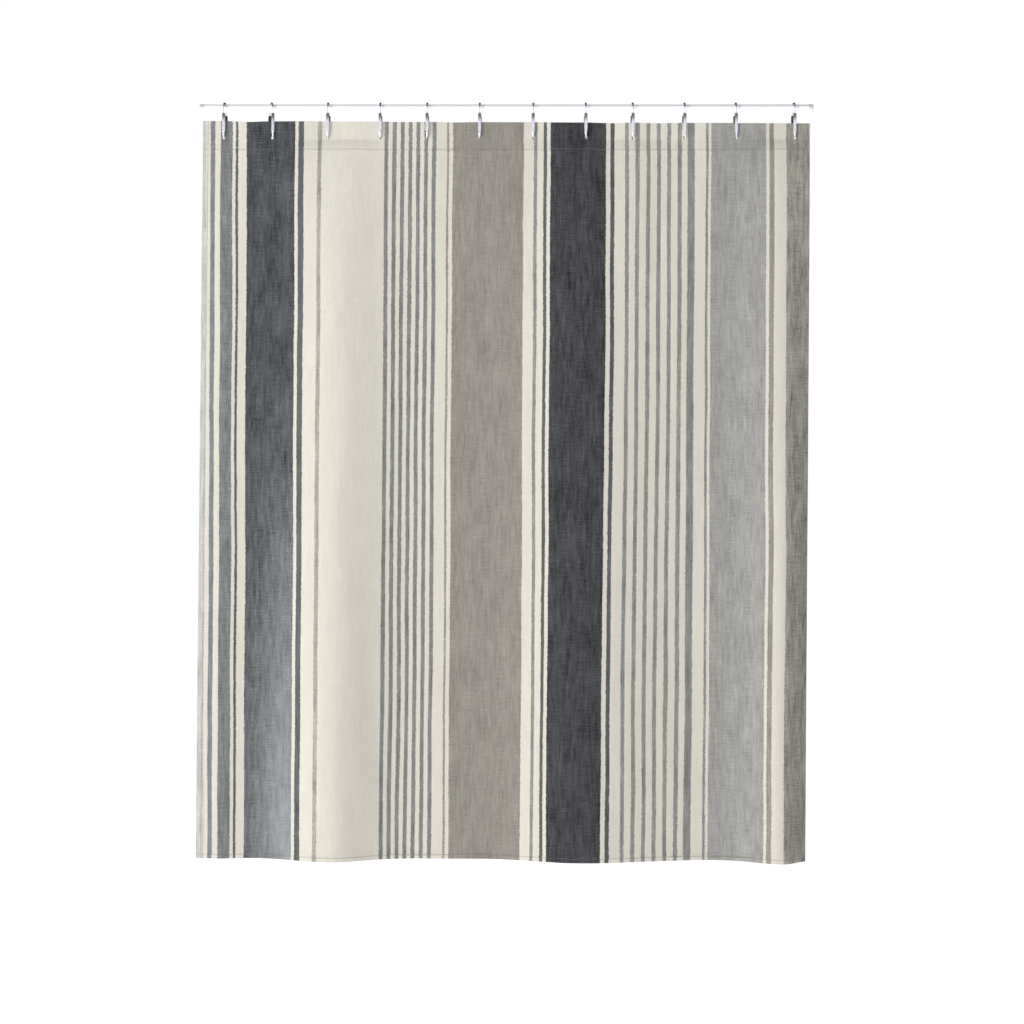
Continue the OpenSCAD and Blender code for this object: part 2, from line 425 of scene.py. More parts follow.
def bow_wire():
    bm = bmesh.new()
    foot = BAR_TOP - 0.6 * MM
    start = bmesh.ops.create_circle(bm, segments=14, radius=WIRE_D / 2,
                                    matrix=Matrix.Translation((0, -BOW_R, foot)))
    ring = edges_of(start["verts"])
    rise = BOW_Z - foot
    ring = pull(bm, ring, (0, 0, rise))
    arch = bmesh.ops.spin(bm, geom=ring, cent=(0, 0, BOW_Z), axis=(-1, 0, 0), angle=math.pi,
                          steps=28, use_duplicate=False)["geom_last"]
    ring = [g for g in arch if isinstance(g, bmesh.types.BMEdge)]
    pull(bm, ring, (0, 0, -rise))
    bmesh.ops.holes_fill(bm, edges=[e for e in bm.edges if e.is_boundary], sides=0)
    return bm


# %% The rollers: five beads on the wire
def rollers():
    bm = bmesh.new()
    bore, radius = BEAD_BORE / 2, BEAD_D / 2
    half = math.sqrt(radius ** 2 - (bore + 0.15 * MM) ** 2)
    reach = math.asin(half / radius)
    outline = [(bore, -half), (bore, half)]
    outline += [(radius * math.cos(a), radius * math.sin(a))
                for a in [reach * (1 - k / 5) for k in range(11)]]
    for place in range(-2, 3):
        before = set(bm.verts)
        spin_profile(bm, [(r, z, 0) for r, z in outline], (0, 0, 0), (0, 1, 0), 18)
        new = [v for v in bm.verts if v not in before]
        swing = Matrix.Translation((0, 0, BOW_Z)) @ Matrix.Rotation(-place * BEAD_STEP, 4, "X")
        bmesh.ops.transform(bm, matrix=swing @ Matrix.Translation((0, 0, BOW_R)), verts=new)
    return bm


# %% The bars: stamped, tapered and curled
def bar(side):
    """A bar at the front (side -1) or the back (side 1) of the rod."""
    bm = bmesh.new()
    straight = BAR_LEN - TAPER
    place = Matrix.Translation((0, -BOW_R, BAR_TOP - straight / 2))
    bmesh.ops.create_cube(bm, size=1, matrix=place @ Matrix.Diagonal((BAR_W, BAR_T, straight, 1)))

    def push(face, offset):
        face = bmesh.ops.extrude_discrete_faces(bm, faces=[face])["faces"][0]
        bmesh.ops.translate(bm, vec=(0, 0, offset), verts=face.verts)
        return face

    end = push(min(bm.faces, key=lambda f: f.calc_center_median().z), -TAPER)
    for v in end.verts:
        v.co.x = math.copysign(CURL_W / 2, v.co.x)
    curl = bmesh.ops.spin(bm, geom=[end] + list(end.edges) + list(end.verts), axis=(1, 0, 0), angle=math.pi,
                          cent=(0, CURL_R - BOW_R, CURL_Z), steps=12, use_duplicate=False)["geom_last"]
    push(next(g for g in curl if isinstance(g, bmesh.types.BMFace)), TIP_LEN)
    bmesh.ops.remove_doubles(bm, verts=bm.verts, dist=1e-6)
    bmesh.ops.recalc_face_normals(bm, faces=bm.faces)

    corners = [e for e in bm.edges if all(abs(v.co.z - BAR_TOP) < 1e-6 for v in e.verts)
               and abs(e.verts[0].co.x - e.verts[1].co.x) < 1e-6]
    bmesh.ops.bevel(bm, geom=corners, offset=2.5 * MM, offset_type="OFFSET", segments=5, profile=0.5,
                    affect="EDGES", material=-1)
    rims = [e for e in bm.edges if len(e.link_faces) == 2 and e.calc_face_angle() > math.radians(50)]
    bmesh.ops.bevel(bm, geom=rims, offset=0.7 * MM, offset_type="OFFSET", segments=3, profile=0.5,
                    affect="EDGES", material=-1, clamp_overlap=True)
    if side == 1:
        bmesh.ops.scale(bm, vec=(1, -1, 1), verts=bm.verts)
    return bm


# %% Hang the hooks on the rod
for name, x in zip(HOOK_NAMES, HOOK_X):
    place = Matrix.Translation((x, 0, 0)) @ Matrix.Rotation(math.radians(TURNED.get(name, 0)), 4, "Z")
    body = "curtain" if name == "hook_01" else name
    pieces = [("wire_bow", bow_wire(), WIRE_CHROME, "hook_chrome", "bow"),
              ("rollers", rollers(), SHADED_ROLLER_CHROME, "bead_chrome", "beads"),
              ("front_hanger", bar(-1), HOOK_CHROME, "hook_chrome", "front_bar"),
              ("back_hanger", bar(1), SHADED_CHROME, "hook_chrome", "back_bar")]
    for title, shape, material, slot, node in pieces:
        bmesh.ops.transform(shape, matrix=place, verts=shape.verts)
        made = finish_piece(shape, f"{name}_{title}", [material], body, [f"{name}_{node}"])
        if name == "hook_01":
            uses = [0] * len(made.data.edges)
            for loop in made.data.loops:
                uses[loop.edge_index] += 1
            print(made.name, len(made.data.polygons), "faces, closed:", all(n == 2 for n in uses))

# %% [markdown]
# ## How the cloth hangs
#
# The cloth hangs almost flat from its hooks, leans a little to the left, and swells into four soft folds,
# the first of them slight, that start under the hooks and grow to the bottom. A cloth simulation would find
# some folds, but not these, so the folds are written as one function: how far a point stands out towards
# the front. Between the hooks the top is a little slack, which the same function adds.

# %% The shape of the hanging cloth
hem_low, hem_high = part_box("top_hem")
CLOTH_LEFT, CLOTH_WIDTH = hem_low.x, hem_high.x - hem_low.x
CLOTH_TOP, CLOTH_Y = hem_high.z, (hem_low.y + hem_high.y) / 2
CLOTH_HEIGHT = CLOTH_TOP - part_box("bottom_hem")[0].z
TOP_HEM, BOTTOM_HEM, SIDE_HEM = 70 * MM, 12 * MM, 15 * MM

# Each fold: its middle as a share of the width, how far it stands out, its left and right half widths
FOLDS = [(0.040, 9 * MM, 45 * MM, 42 * MM), (0.226, 54 * MM, 115 * MM, 105 * MM),
         (0.632, 54 * MM, 140 * MM, 215 * MM), (0.957, 58 * MM, 90 * MM, 62 * MM)]
# The hooks hold the cloth flat down to here
FREE_BELOW = 45 * MM
# A fold grows fast at first and then slowly, as this power of the way down
GROWTH = 0.52
RIPPLE = 2.2 * MM
# How far each gap between two hooks stands out near the top
SLACK = [3.0, 3.5, 1.5, -1.0, -3.5, 3.0, 3.5, -4.0, -3.0, 3.0, 4.0]
# How far the top edge dips between two hooks
DIPS = [2.6, 0.4, 0.8, 0.6, 0.5, 0.6, 0.8, 0.5, 0.6, 0.6, 0.8]


def smooth(t):
    """Rises from 0 to 1 as t does, with no corner at either end."""
    t = min(1.0, max(0.0, t))
    return t * t * (3 - 2 * t)


def between_hooks(x, values):
    """A list's value for the gap that x is in, largest half way between its two hooks."""
    for left, right, value in zip(HOOK_X, HOOK_X[1:], values):
        if left < x < right:
            return value * MM * math.sin(math.pi * (x - left) / (right - left)) ** 2
    return 0.0


def stand_out(u, d):
    """How far the cloth stands out, at a share u of its width and a distance d below its top."""
    x = u * CLOTH_WIDTH
    grow = max(0.0, (d - FREE_BELOW) / (CLOTH_HEIGHT - FREE_BELOW)) ** GROWTH
    out = 0.0
    for middle, depth, left, right in FOLDS:
        off = x - middle * CLOTH_WIDTH
        out += depth * grow * math.exp(-(off / (left if off < 0 else right)) ** 2)
    out += between_hooks(CLOTH_LEFT + x, SLACK) * math.exp(-d / 0.35)
    ripple = noise.noise(Vector((x * 9.0, d * 1.6, 4.7)))
    ripple += 0.4 * noise.noise(Vector((x * 24.0, d * 3.5, 9.1)))
    return out + RIPPLE * ripple * smooth((d - FREE_BELOW) / 0.3)


def cloth_point(u, d):
    """A point on the front of the cloth: its top and foot slope down to the right, and it leans left."""
    share = d / CLOTH_HEIGHT
    x = CLOTH_LEFT + u * CLOTH_WIDTH
    rise = (2.0 - 5.6 * u) * MM - between_hooks(x, DIPS)
    z = CLOTH_TOP - d + rise * (1 - smooth(d / (30 * MM)))
    z += (2.8 - 5.0 * u) * MM * smooth((d - FREE_BELOW) / 0.4)
    return Vector((x - (18.5 - 3.5 * u) * MM * share, CLOTH_Y - stand_out(u, d), z))


print("cloth hangs", round(CLOTH_WIDTH, 3), "wide and", round(CLOTH_HEIGHT, 3), "high; the biggest fold",
      "stands out", round(stand_out(0.957, CLOTH_HEIGHT) / MM), "mm")

# %% [markdown]
# ## One sheet with its hems turned
#
# A sewn curtain is one cloth whose four edges are turned to the back and stitched down. The sheet here is
# made the same way: one grid covers the flat cloth with its hem allowances, and a helper says how far past
# a fold a point is, so that the allowance goes round a tiny half circle and lies behind. The grid has close
# columns and rows at the buttonholes, where a few faces are taken out and the edge of the gap is pulled
# into a slot with round ends.

# %% The rows and columns of the grid
FOLD_R = 0.35 * MM
HOLE_W, HOLE_H = 6 * MM, 9 * MM
HOLE_CELLS_X, HOLE_CELLS_Z = 4, 6
hole_low, hole_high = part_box("buttonholes")
HOLE_MID_D = CLOTH_TOP - (hole_low.z + hole_high.z) / 2
HOLE_X = [x + CLOTH_Y * -math.tan(math.radians(TURNED.get(name, 0))) for name, x in zip(HOOK_NAMES, HOOK_X)]


def past_fold(q):
    """A point q past a hem's fold: how far in from the fold it is, and its share of the way to the back."""
    quarter = FOLD_R * math.pi / 2
    if q > quarter:
        return FOLD_R + q - quarter, 0.0
    if q < -quarter:
        return FOLD_R - q - quarter, 1.0
    return FOLD_R * (1 - math.cos(q / FOLD_R)), (1 - math.sin(q / FOLD_R)) / 2


def spaced(start, end, step):
    """Even values after start, up to end."""
    count = max(1, round((end - start) / step))
    return [start + (end - start) * (k + 1) / count for k in range(count)]


def columns():
    """Distances across the cloth, past the folds at both sides."""
    fold = [-0.9, -0.55, -0.27, 0.0, 0.27, 0.55, 0.9]
    values = [-SIDE_HEM, -SIDE_HEM / 2] + [f * MM for f in fold]
    for x in HOLE_X:
        middle = x - CLOTH_LEFT
        values += spaced(values[-1], middle - 8 * MM, 8.2 * MM)
        values += [middle - 5 * MM]
        values += [middle + (k / HOLE_CELLS_X - 0.5) * HOLE_W for k in range(HOLE_CELLS_X + 1)]
        values += [middle + 5 * MM, middle + 8 * MM]
    values += spaced(values[-1], CLOTH_WIDTH - 0.9 * MM, 8.2 * MM)
    values += [CLOTH_WIDTH - f * MM for f in fold[::-1][1:]]
    return values + [CLOTH_WIDTH + SIDE_HEM / 2, CLOTH_WIDTH + SIDE_HEM]


def rows():
    """Distances down the cloth, past the folds at the top and bottom."""
    hole = [HOLE_MID_D + (k / HOLE_CELLS_Z - 0.5) * HOLE_H for k in range(HOLE_CELLS_Z + 1)]
    fold = [0.9, 0.55, 0.27]
    upper = [8 * MM, 17 * MM, 26 * MM, 30 * MM] + hole + [44 * MM, 50 * MM, 60 * MM, TOP_HEM]
    back = [-d for d in upper[::-1]] + [-f * MM for f in fold]
    front = [0.0] + [f * MM for f in fold[::-1]] + upper
    front += spaced(TOP_HEM, CLOTH_HEIGHT - BOTTOM_HEM, 19 * MM)
    front += [CLOTH_HEIGHT - f * MM for f in (6.0, *fold)] + [CLOTH_HEIGHT]
    return back + front + [CLOTH_HEIGHT + f * MM for f in (*fold[::-1], 6.0)] + [CLOTH_HEIGHT + BOTTOM_HEM]


COLUMNS, ROWS = columns(), rows()
print("grid of", len(COLUMNS), "columns and", len(ROWS), "rows")


# %% Where the hems lie
def sheet_point(p, d):
    """The place of a point p across and d down the flat cloth, once its hems are turned."""
    across, side_share = past_fold(min(p, CLOTH_WIDTH - p))
    down, end_share = past_fold(min(d, CLOTH_HEIGHT - d))
    x = across if p < CLOTH_WIDTH / 2 else CLOTH_WIDTH - across
    drop = down if d < CLOTH_HEIGHT / 2 else CLOTH_HEIGHT - down
    # At a corner the end hem goes round the side hem too
    layers = 1 + 2 * (1 - smooth((across - SIDE_HEM) / (12 * MM)))
    layer = side_share + end_share * (layers - 2 * side_share)
    point = cloth_point(x / CLOTH_WIDTH, drop)
    point.y += (2 * layer - 1) * FOLD_R
    return point


print("the top edge is at", round(sheet_point(0.4, 0).z, 4), "and a corner at",
      tuple(round(c, 4) for c in sheet_point(0, CLOTH_HEIGHT)))

# %% Cut the sheet, its buttonholes and its cloth lengths
bm = bmesh.new()
bmesh.ops.create_grid(bm, x_segments=len(COLUMNS) - 1, y_segments=len(ROWS) - 1, size=0.5)
flat = {}
for v in bm.verts:
    i = round((v.co.x + 0.5) * (len(COLUMNS) - 1))
    j = round((0.5 - v.co.y) * (len(ROWS) - 1))
    flat[v] = [COLUMNS[i], ROWS[j], i, j]


def hole_near(face):
    """The middle of the buttonhole that a face is in, or None."""
    p = sum(flat[v][0] for v in face.verts) / len(face.verts)
    d = sum(flat[v][1] for v in face.verts) / len(face.verts)
    if abs(abs(d) - HOLE_MID_D) > HOLE_H / 2:
        return None
    for x in HOLE_X:
        if abs(p - (x - CLOTH_LEFT)) < HOLE_W / 2:
            return (x - CLOTH_LEFT, math.copysign(HOLE_MID_D, d))
    return None


doomed = {face: hole_near(face) for face in bm.faces}
doomed = {face: hole for face, hole in doomed.items() if hole}
rim = {}
for face, hole in doomed.items():
    for v in face.verts:
        rim[v] = hole
bmesh.ops.delete(bm, geom=list(doomed), context="FACES")
for v, (p, d) in rim.items():
    if not v.is_valid:
        continue
    # The straight middle of the slot stays; its two ends are half circles
    dx, dz = flat[v][0] - p, flat[v][1] - d
    reach = (HOLE_H - HOLE_W) / 2
    centre = max(-reach, min(reach, dz))
    length = math.hypot(dx, dz - centre)
    flat[v][0] = p + dx / length * HOLE_W / 2
    flat[v][1] = d + centre + (dz - centre) / length * HOLE_W / 2
print("took out", len(doomed), "faces for", 2 * len(HOLE_X), "slots")

# %% [markdown]
# ## Lengths along the cloth
#
# The print was made on flat cloth, so it must follow lengths along the cloth and not widths in the air.
# Each row of the grid is measured as a tape would measure it, and scaled to the cloth's one flat width.
# Those lengths, in metres, are the UV map that the stripes are printed with.

# %% Measure the cloth and lay its UV map
def row_lengths(d):
    """Lengths along the cloth at each column of one row, from the left fold."""
    points = [cloth_point(min(1, max(0, p / CLOTH_WIDTH)), min(CLOTH_HEIGHT, abs(d))) for p in COLUMNS]
    total, lengths = 0.0, []
    for k, point in enumerate(points):
        if k:
            total += (point - points[k - 1]).length
        lengths.append(total)
    return lengths, total


TAPES = [row_lengths(d) for d in ROWS]
FLAT_WIDTH = max(total for lengths, total in TAPES)
uv = bm.loops.layers.uv.new("cloth")
across = {}
for v, (p, d, i, j) in flat.items():
    if not v.is_valid:
        continue
    lengths, total = TAPES[j]
    beyond = p if p < 0 else p - CLOTH_WIDTH if p > CLOTH_WIDTH else 0.0
    nudge = 0.0 if p < 0 or p > CLOTH_WIDTH else p - COLUMNS[i]
    across[v] = (lengths[i] * FLAT_WIDTH / total + beyond + nudge, d)
    v.co = sheet_point(p, d)
for face in bm.faces:
    for loop in face.loops:
        loop[uv].uv = across[loop.vert]
bmesh.ops.recalc_face_normals(bm, faces=bm.faces)
bm.faces.ensure_lookup_table()
lowest = min(bm.faces, key=lambda f: (f.calc_center_median() - Vector((0.4, CLOTH_Y, -1.0))).length)
if lowest.normal.y > 0:
    bmesh.ops.reverse_faces(bm, faces=bm.faces)
print("rows measure", round(min(t for l, t in TAPES), 4), "to", round(FLAT_WIDTH, 4), "m along the cloth")

# %% [markdown]
# ## The print
#
# The stripes are printed to look hand drawn on linen. Their layout is a list of inks and widths in
# millimetres. These are not a designer's own numbers: a separate measuring script worked out the widths, and
# only a few of them, mostly in the repeated lines, were then evened up by hand. Each ink gets one mask, which
# is 1 inside its stripes. Before the masks are read, the position across the cloth is shaken by noise, quick
# and slow, so that every edge wanders and frays like a brush line. A colour ramp could hold the stripes too,
# but a ramp is cut into 256 steps, which would be 6 mm each here.

# %% The inks and the layout of the stripes
LINEN = ink(224, 219, 205)
# Each ink's colour, and how unevenly it took on the cloth
INKS = {"mist": (ink(196, 195, 189), 0.6), "slate": (ink(131, 135, 136), 0.9),
        "deep slate": (ink(99, 104, 103), 0.9), "pewter": (ink(126, 129, 127), 1.0),
        "lead": (ink(136, 138, 135), 0.9), "charcoal": (ink(80, 82, 85), 1.8),
        "black": (ink(69, 70, 72), 1.9), "coal": (ink(94, 96, 96), 1.3),
        "ash": (ink(97, 101, 99), 0.9), "stone": (ink(170, 168, 157), 0.9),
        "greige": (ink(151, 146, 137), 0.55), "dove": (ink(148, 149, 144), 0.8),
        "nickel": (ink(148, 149, 144), 0.9), "zinc": (ink(142, 143, 140), 0.9),
        "silver": (ink(163, 162, 157), 0.6), "sand": (ink(157, 153, 142), 0.7),
        "olive": (ink(160, 157, 147), 1.3)}
LAYOUT = [("mist", 13.0), ("linen", 10.4), ("slate", 11.8), ("linen", 14.2), ("pewter", 30.6),
          ("linen", 8.2), ("ash", 6.2), ("linen", 21), ("charcoal", 124.4), ("linen", 8.8),
          ("deep slate", 14.4), ("linen", 34.2), ("stone", 10.3), ("linen", 160.7)]
LAYOUT += [("lead", 10.1), ("linen", 10.1)] * 2 + [("lead", 9.8), ("linen", 10.3)] * 4
LAYOUT += [("lead", 9.9), ("linen", 27.6), ("sand", 5.3), ("linen", 9.8), ("greige", 180.3), ("linen", 26.1),
           ("dove", 8.7), ("linen", 16.4), ("ash", 8.3), ("linen", 9.1), ("black", 141.5), ("linen", 11.2),
           ("coal", 10.4), ("linen", 27.9)]
LAYOUT += [("nickel", 9.9), ("linen", 16.9)] * 5 + [("nickel", 10.5), ("linen", 14.6)]
LAYOUT += [("zinc", 17.9), ("linen", 28.7), ("dove", 6.4), ("linen", 7.1), ("silver", 140.3),
           ("linen", 7.8), ("sand", 12.2), ("linen", 31.1), ("olive", 100)]
LEFT_OVERRUN = 30

def stripe_places():
    """For each ink, the middle and half width of its stripes, in metres from the left fold."""
    places, at = {}, 0.0
    for name, width in LAYOUT:
        if name != "linen":
            # The first stripe runs on over the left hem; the last is listed wide enough for the right one
            start, end = at if at else -LEFT_OVERRUN, at + width
            places.setdefault(name, []).append(((start + end) / 2 * MM, (end - start) / 2 * MM))
        at += width
    return places


print(len(LAYOUT), "stripes in", len(INKS), "inks")


# %% The print as a sum
# The share by which the print is wider for each metre above a level, and its middle and that level in metres
SPREAD, SPREAD_MIDDLE, SPREAD_LEVEL = 0.008, 0.73, 0.65
# How far an edge is shaken slowly, quickly and by single threads, and how far the black band crept
DRIFT, WANDER, FRAY, CREEP = 6 * MM, 1.8 * MM, 6.5 * MM, 6 * MM


def printed(paint):
    """The colour of the print, how uneven its ink is, and the two lengths along the cloth."""
    a, b, _ = paint.parts(paint.node("ShaderNodeUVMap", {"uv_map": "cloth"}))
    drift = paint.noise(paint.join(a * 14, b * 3.2, 3.0), detail=1.0) - 0.5
    wander = paint.noise(paint.join(a * 60, b * 60, 5.0), detail=2.0) - 0.5
    fray = paint.noise(paint.join(a * 300, b * 270, 8.0), detail=2.0) - 0.5
    # The web of cloth was pulled a little wider towards its head as it was printed
    spread = (a - SPREAD_MIDDLE) * (b - SPREAD_LEVEL) * SPREAD
    # Low down, the black band and the lines beside it were laid a little to the left
    crept = b.step(0.6, 1.3) * a.step(0.9, 1.02) * (1 - a.step(1.08, 1.3)) * CREEP
    shaken = a + spread + crept + drift * DRIFT + wander * WANDER + fray * FRAY
    colour, inked = LINEN, 0.0
    masks = {}
    for name, places in stripe_places().items():
        mask = 0.0
        for middle, half in places:
            mask = shaken.near(middle, half) + mask
        masks[name] = mask
        tone, unevenness = INKS[name]
        colour = paint.mix(mask, colour, tone)
        inked = mask * unevenness + inked
    # The left charcoal band is painted lighter towards the foot, most on its right: painted sheen where the
    # cloth turns to the lamp
    painted_sheen = masks["charcoal"] * b.step(0.5, 1.9) * (0.35 + a.step(0.12, 0.23) * 0.65)
    colour = paint.mix(painted_sheen, colour, ink(152, 155, 155))
    return colour, inked - painted_sheen * 1.3, a, b


def linen_threads(paint, a, b):
    """Slubs along and across the cloth, brush streaks down it, flecks and broad clouds, each about 0.5."""
    down = paint.noise(paint.join(a * 560, b * 26, 1.0))
    across = paint.noise(paint.join(a * 24, b * 520, 2.0))
    streaks = paint.noise(paint.join(a * 125, b * 15, 6.0), detail=3.0)
    flecks = paint.noise(paint.join(a * 330, b * 280, 7.0), detail=1.0)
    clouds = paint.noise(paint.join(a * 30, b * 9, 9.0), detail=2.0)
    return down, across, streaks, flecks, clouds


# %% The front and the back of the cloth
# How far in from a hem's edge its seam is, and where that puts the four seams on the flat cloth
SEAM_IN = 1.5 * MM
SEAM_TOP, SEAM_FOOT = TOP_HEM - SEAM_IN, CLOTH_HEIGHT - BOTTOM_HEM + SEAM_IN
SEAM_LEFT, SEAM_RIGHT = SIDE_HEM - SEAM_IN, FLAT_WIDTH - SIDE_HEM + SEAM_IN
THREAD_DEPTH, PUCKER_DEPTH, SEAM_DEPTH = 0.16 * MM, 1.1 * MM, 0.35 * MM
# How much of the print shows through at the back, in its colour and in its grain
GHOST, GHOST_GRAIN = 0.13, 0.12


def cloth_paint(name, printed_side):
    paint = Paint(name, Sheen_Weight=0.1, Sheen_Roughness=0.5, Specular_IOR_Level=0.1)
    colour, inked, a, b = printed(paint)
    down, across, streaks, flecks, clouds = linen_threads(paint, a, b)
    if not printed_side:
        colour = paint.mix(GHOST, ink(233, 231, 224), colour)
        inked = inked * GHOST_GRAIN
    grain = down * 0.9 + across * 0.8 + streaks * 0.9 + flecks * 0.7 + clouds * 0.6 - 1.95
    value = 1.0 + grain * (0.15 + inked * 0.9)
    colour = paint.node("ShaderNodeHueSaturation", {}, {"Value": value, "Color": colour})

    # The cloth is drawn in along each line of stitches, and puckers beside it; the seams are also painted
    # darker, as painted shade in that groove
    seams = [(b.size() - SEAM_TOP).size(), (b - SEAM_FOOT).size(), (a - SEAM_LEFT).size(),
             (a - SEAM_RIGHT).size()]
    near = seams[0]
    for seam in seams[1:]:
        near = near.maths("MINIMUM", near, seam)
    seam_pinch_and_shade = 1 - near.step(0.3 * MM, 2.2 * MM)
    puckers = paint.noise(paint.join(a * 75, b * 75, 4.0), detail=1.0) * (1 - near.step(2 * MM, 16 * MM))
    threads = (down + across) * THREAD_DEPTH
    height = threads + puckers * PUCKER_DEPTH - seam_pinch_and_shade * SEAM_DEPTH
    # Painted shade: the colour is darkened along each line of stitches.
    shade = paint.mix(seam_pinch_and_shade * 0.16, colour, ink(120, 116, 106), "MULTIPLY")
    paint.drive(Base_Color=shade, Roughness=0.86 - inked * 0.08 + grain * 0.05,
                Normal=paint.bump(height, 1.0, 0.8))
    return paint.material


PRINTED_CLOTH = cloth_paint("printed_linen_look", True)
CLOTH_BACK = cloth_paint("pale_cloth_back", False)
print("the print uses", len(PRINTED_CLOTH.node_tree.nodes), "nodes")

# %% Give the sheet its thickness and hang it
CLOTH_THICKNESS = 0.4 * MM

sheet = finish_piece(bm, "curtain_cloth", [PRINTED_CLOTH, CLOTH_BACK], "curtain",
                     ["curtain_panel", "top_hem", "bottom_hem", "left_hem", "right_hem"], outward=False)
wall = sheet.modifiers.new("cloth_thickness", "SOLIDIFY")
wall.thickness = CLOTH_THICKNESS
wall.offset = 0
wall.material_offset = 1
wall.material_offset_rim = 1
apply_modifiers(sheet)
sheet.data.set_sharp_from_angle(angle=math.radians(60))
print("cloth:", len(sheet.data.polygons), "faces")

# %% [markdown]
# ## Thread
#
# Stitches are thousands of small things, so each is kept very simple: a ball of a few faces, stretched to
# the length of a stitch and sunk into the cloth. The seams are rows of these, and a buttonhole is a ring
# of fat stitches that go round its edge. The thread's twist is a bump.

# %% Sewing thread
def thread_paint():
    paint = Paint("cotton_thread", Roughness=0.75, Sheen_Weight=0.3, Specular_IOR_Level=0.3)
    place = paint.place()
    fibres = paint.noise(place, 2600.0, 2.0)
    x, y, z = paint.parts(place)
    twist = paint.node("ShaderNodeMath", {"operation": "SINE"}, {0: (x + z) * 9000.0})
    colour = paint.mix(fibres, ink(196, 192, 180), ink(226, 222, 210))
    paint.drive(Base_Color=colour, Normal=paint.bump(twist * 0.4 + fibres, 0.05 * MM))
    return paint.material


THREAD = thread_paint()


def stitch_place(middle, along, size):
    """Where a stitch lies and its size (along, across, through), as a matrix."""
    x_axis = along.normalized()
    z_axis = x_axis.cross(Vector((0, 1, 0))).normalized()
    turn = Matrix((x_axis, z_axis.cross(x_axis), z_axis)).transposed().to_4x4()
    return Matrix.Translation(middle) @ turn @ Matrix.Diagonal((size[0], size[2], size[1], 1))


def stitches(places):
    """One small ball for each place. The first is doubled and doubled again until there are enough."""
    bm = bmesh.new()
    bmesh.ops.create_uvsphere(bm, u_segments=6, v_segments=4, radius=0.5)
    ball = [v.co.copy() for v in bm.verts]
    while len(bm.verts) < len(ball) * len(places):
        bmesh.ops.duplicate(bm, geom=bm.verts[:] + bm.edges[:] + bm.faces[:])
    bmesh.ops.delete(bm, geom=bm.verts[len(ball) * len(places):], context="VERTS")
    for k, v in enumerate(bm.verts):
        v.co = places[k // len(ball)] @ ball[k % len(ball)]
    return bm


# %% Sew the seams
STITCH_PITCH = 4 * MM
STITCH = (3.3 * MM, 0.6 * MM, 0.5 * MM)
SKIN = CLOTH_THICKNESS / 2 + 0.1 * MM


def sew(points, offset):
    """A stitch between each two points, offset towards the back."""
    shift = Vector((0, offset, 0))
    return [stitch_place((start + end) / 2 + shift, end - start, STITCH)
            for start, end in zip(points, points[1:])]


def steps_between(start, end, pitch):
    count = round((end - start) / pitch)
    return [start + (end - start) * k / count for k in range(count + 1)]


sewn = []
across_steps = steps_between(3 * MM, CLOTH_WIDTH - 3 * MM, STITCH_PITCH)
down_steps = steps_between(3 * MM, CLOTH_HEIGHT - 3 * MM, STITCH_PITCH)
for d in (SEAM_TOP, SEAM_FOOT):
    behind = -d if d < CLOTH_HEIGHT / 2 else 2 * CLOTH_HEIGHT - d
    sewn += sew([sheet_point(p, d) for p in across_steps], -SKIN)
    sewn += sew([sheet_point(p, behind) for p in across_steps], SKIN)
for p, behind in ((SIDE_HEM - SEAM_IN, SEAM_IN - SIDE_HEM),
                  (CLOTH_WIDTH - SIDE_HEM + SEAM_IN, CLOTH_WIDTH + SIDE_HEM - SEAM_IN)):
    sewn += sew([sheet_point(p, d) for d in down_steps], -SKIN)
    sewn += sew([sheet_point(behind, d) for d in down_steps], SKIN)
seam_stitches = finish_piece(stitches(sewn), "seam_stitches", [THREAD], "curtain", [],
                             outward=False, sharp_angle=180)
print("seams:", len(seam_stitches.data.polygons), "faces")

# %% Work the buttonholes
BUTTONHOLE_STITCHES = 44
worked = []
for x in HOLE_X:
    straight = HOLE_H - HOLE_W
    outline = 2 * straight + math.pi * HOLE_W
    for k in range(BUTTONHOLE_STITCHES):
        run = outline * k / BUTTONHOLE_STITCHES
        arc = math.pi * HOLE_W / 2
        if run < arc:
            angle, rise = run / arc * math.pi, straight / 2
        elif run < arc + straight:
            angle, rise = math.pi, straight / 2 - (run - arc)
        elif run < 2 * arc + straight:
            angle, rise = math.pi + (run - arc - straight) / arc * math.pi, -straight / 2
        else:
            angle, rise = 0.0, -straight / 2 + (run - 2 * arc - straight)
        out = Vector((math.cos(angle), 0, math.sin(angle)))
        edge = Vector((x, CLOTH_Y, CLOTH_TOP - HOLE_MID_D + rise)) + out * (HOLE_W / 2 + 0.7 * MM)
        worked.append(stitch_place(edge, out, (2.1 * MM, 0.68 * MM, 1.9 * MM)))
buttonholes = finish_piece(stitches(worked), "buttonhole_stitches", [THREAD], "curtain",
                           ["buttonholes"], outward=False, sharp_angle=180)
print("buttonholes:", len(buttonholes.data.polygons), "faces")

# %% [markdown]
# ## The cloth's own meshes
#
# The cloth and all its thread each get a mesh of their own.

for piece in (sheet, seam_stitches, buttonholes):
    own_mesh(piece)

round(FLAT_WIDTH + 2 * SIDE_HEM, 3)
round(CLOTH_HEIGHT + TOP_HEM + BOTTOM_HEM, 3)

# %% [markdown]
# ## The studio
#
# A pale floor and soft light from the front left. The light comes from a large, far lamp and from the room
# itself, which is bright in front and to the left, dimmer to the right and dark overhead. The lamp's low
# angle is what makes the folds show; the dark ceiling is what the chrome and the rod's top reflect. In
# front there is a bright wall, which only the shiny things mirror.

# %% The floor
FLOOR_Z = -2.06

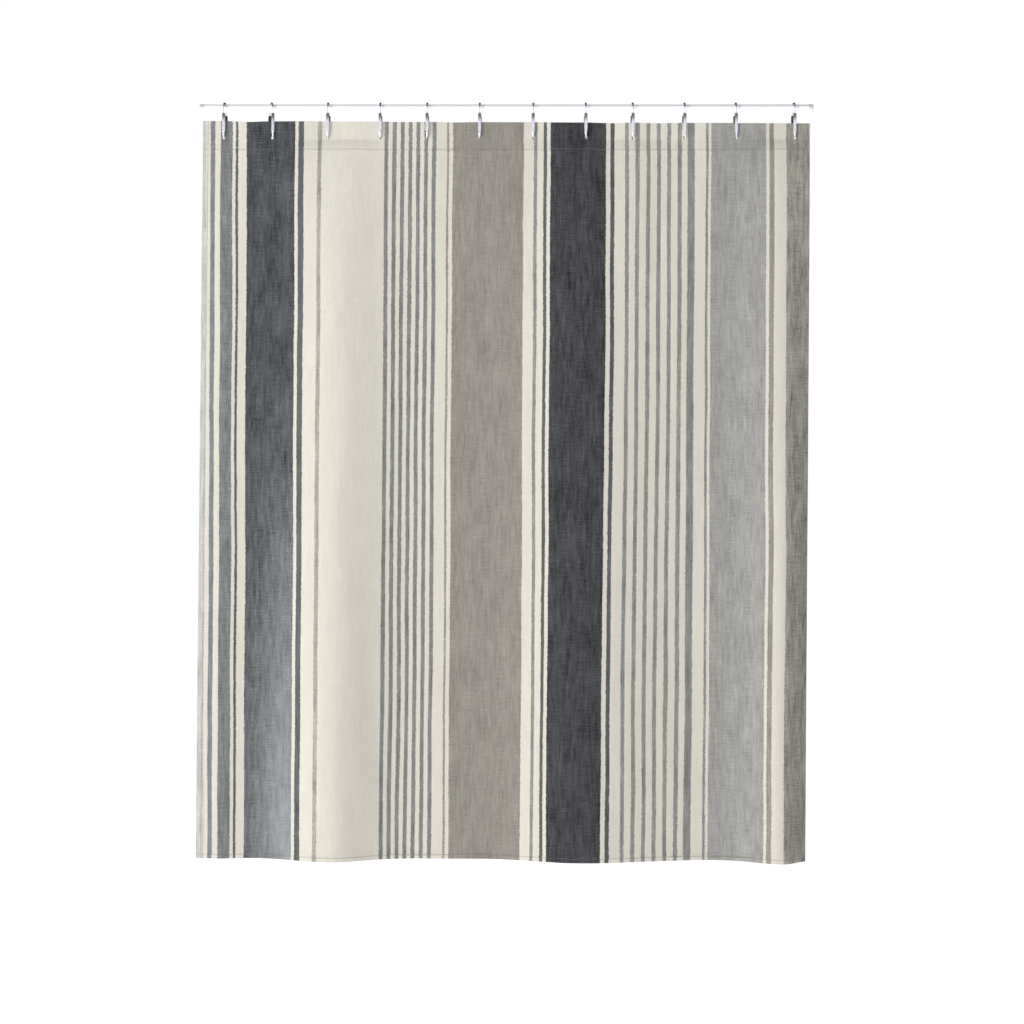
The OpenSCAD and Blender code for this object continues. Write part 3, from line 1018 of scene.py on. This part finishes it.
floor_paint = Paint("studio_floor", Roughness=0.8, Emission_Color=(1, 1, 1, 1), Emission_Strength=0.86)
patches = floor_paint.noise(floor_paint.place(), 3.0)
floor_paint.drive(Base_Color=floor_paint.mix(patches, ink(252, 252, 252), ink(249, 249, 250)))
bm = bmesh.new()
bmesh.ops.create_grid(bm, x_segments=1, y_segments=1, size=60,
                      matrix=Matrix.Translation((CLOTH_WIDTH / 2, 0, FLOOR_Z)))
floor_mesh = bpy.data.meshes.new("studio_floor")
bm.to_mesh(floor_mesh)
bm.free()
floor_mesh.materials.append(floor_paint.material)
floor = bpy.data.objects.new("studio_floor", floor_mesh)
bpy.context.scene.collection.objects.link(floor)


# %% The lamp
def soft_light(name, place, aim, size, power):
    """A round soft lamp that shines at a point and is not seen itself."""
    light = bpy.data.lights.new(name, "AREA")
    light.shape = "DISK"
    light.size = size
    light.energy = power
    lamp = bpy.data.objects.new(name, light)
    lamp.location = place
    lamp.rotation_euler = (Vector(aim) - Vector(place)).to_track_quat("-Z", "Y").to_euler()
    lamp.visible_camera = False
    bpy.context.scene.collection.objects.link(lamp)


soft_light("key_light", (-6.2, -4.6, -0.2), (0.76, 0, -1.0), 2.4, 358)


# %% The room
class Room(Paint):
    """The world's nodes, worked with in the same way as a material's."""

    def __init__(self, world):
        world.use_nodes = True
        self.tree = world.node_tree
        self.surface = self.tree.nodes["Background"]


world = bpy.data.worlds.new("studio_room")
bpy.context.scene.world = world
room = Room(world)
side, front, up = room.parts(room.node("ShaderNodeTexCoord", out="Generated"))
ceiling = room.mix(up.step(0.2, 0.75), (0.525, 0.525, 0.55, 1), (0.15, 0.15, 0.17, 1))
lit = room.mix(side.step(-0.9, 1.0), ceiling, (0.08, 0.08, 0.1, 1))
mirrored = room.mix(front.step(-0.2, -0.9), lit, (0.86, 0.86, 0.92, 1))
lit = room.mix(room.node("ShaderNodeLightPath", out="Is Glossy Ray"), lit, mirrored)
backdrop = room.mix(room.node("ShaderNodeLightPath", out="Is Camera Ray"), lit, (1, 1, 1, 1))
room.drive(Color=backdrop)

bpy.context.scene.view_settings.view_transform = "Standard"
